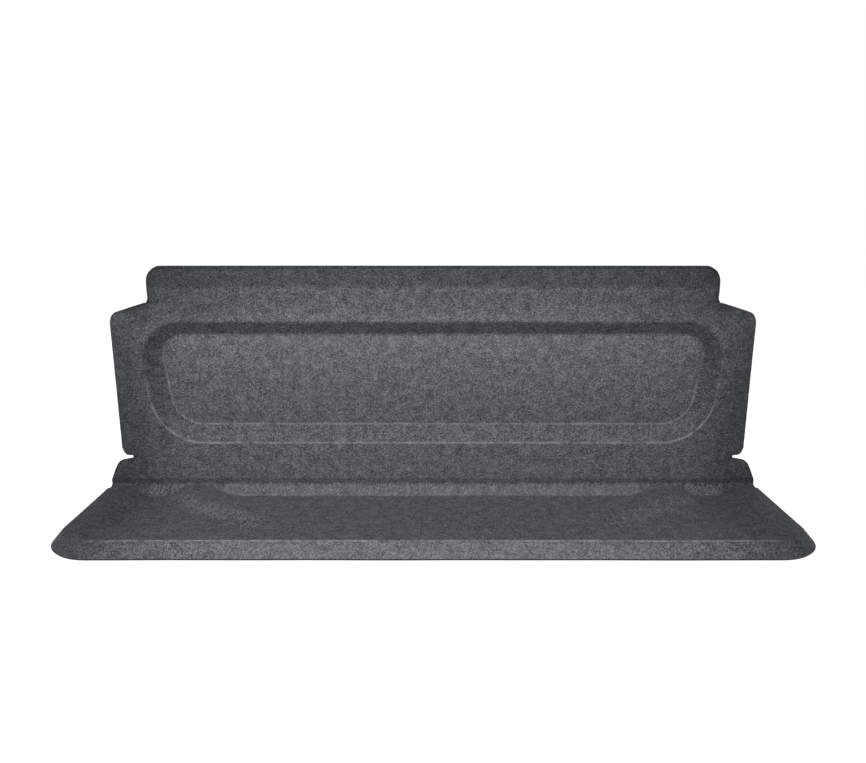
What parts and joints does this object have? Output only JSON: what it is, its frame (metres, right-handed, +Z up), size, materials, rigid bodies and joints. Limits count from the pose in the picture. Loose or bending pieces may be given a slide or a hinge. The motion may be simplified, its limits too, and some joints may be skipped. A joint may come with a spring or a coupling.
{
  "type": "truck bed liner",
  "caption": "Moulded felt tailgate section of a truck bed liner: recessed upright panel, gap strip and flanged lower panel, folding on pressed living hinges.",
  "frame": {"origin": "under the middle of the part, on the surface it rests on", "axes": "+X across the truck to the right as seen from the carpet side, +Y from the lower panel towards the back of the upright panel, +Z up"},
  "size_m": [1.6322, 0.3762, 0.566],
  "materials": {
    "felt": "needle-punched heathered felt",
    "foam": "matt closed-cell foam",
    "loop": "napped loop pile",
    "hook": "rows of fine moulded hooks",
    "liner": "smooth release paper"
  },
  "bodies": {
    "lower_panel": {"lower_carpet": "felt", "lower_foam": "foam", "lower_loop_tape_1": "loop", "lower_hook_tape_1": "hook", "lower_tape_liner_1": "liner", "lower_loop_tape_2": "loop", "lower_hook_tape_2": "hook", "lower_tape_liner_2": "liner", "lower_loop_tape_3": "loop", "lower_hook_tape_3": "hook", "lower_tape_liner_3": "liner", "lower_loop_tape_4": "loop", "lower_hook_tape_4": "hook", "lower_tape_liner_4": "liner"},
    "gap_strip": {"gap_carpet": "felt", "gap_foam": "foam", "lower_crease": "felt", "upper_crease": "felt"},
    "upper_panel": {"upper_carpet": "felt", "upper_foam": "foam", "upper_loop_tape_1": "loop", "upper_hook_tape_1": "hook", "upper_tape_liner_1": "liner", "upper_loop_tape_2": "loop", "upper_hook_tape_2": "hook", "upper_tape_liner_2": "liner", "upper_loop_tape_3": "loop", "upper_hook_tape_3": "hook", "upper_tape_liner_3": "liner", "upper_loop_tape_4": "loop", "upper_hook_tape_4": "hook", "upper_tape_liner_4": "liner", "upper_loop_tape_5": "loop", "upper_hook_tape_5": "hook", "upper_tape_liner_5": "liner", "upper_loop_tape_6": "loop", "upper_hook_tape_6": "hook", "upper_tape_liner_6": "liner"}
  },
  "joints": [
    {"name": "lower_fold", "type": "hinge", "parent": "lower_panel", "child": "gap_strip", "pos_m": [0, 0.15106, 0.038], "axis": [-1, 0, 0], "range_deg": [0, 90], "deforming": ["lower_crease"]},
    {"name": "upper_fold", "type": "hinge", "parent": "gap_strip", "child": "upper_panel", "pos_m": [0, 0.15407, 0.1085], "axis": [-1, 0, 0], "range_deg": [-90, 0], "deforming": ["upper_crease"]}
  ]
}
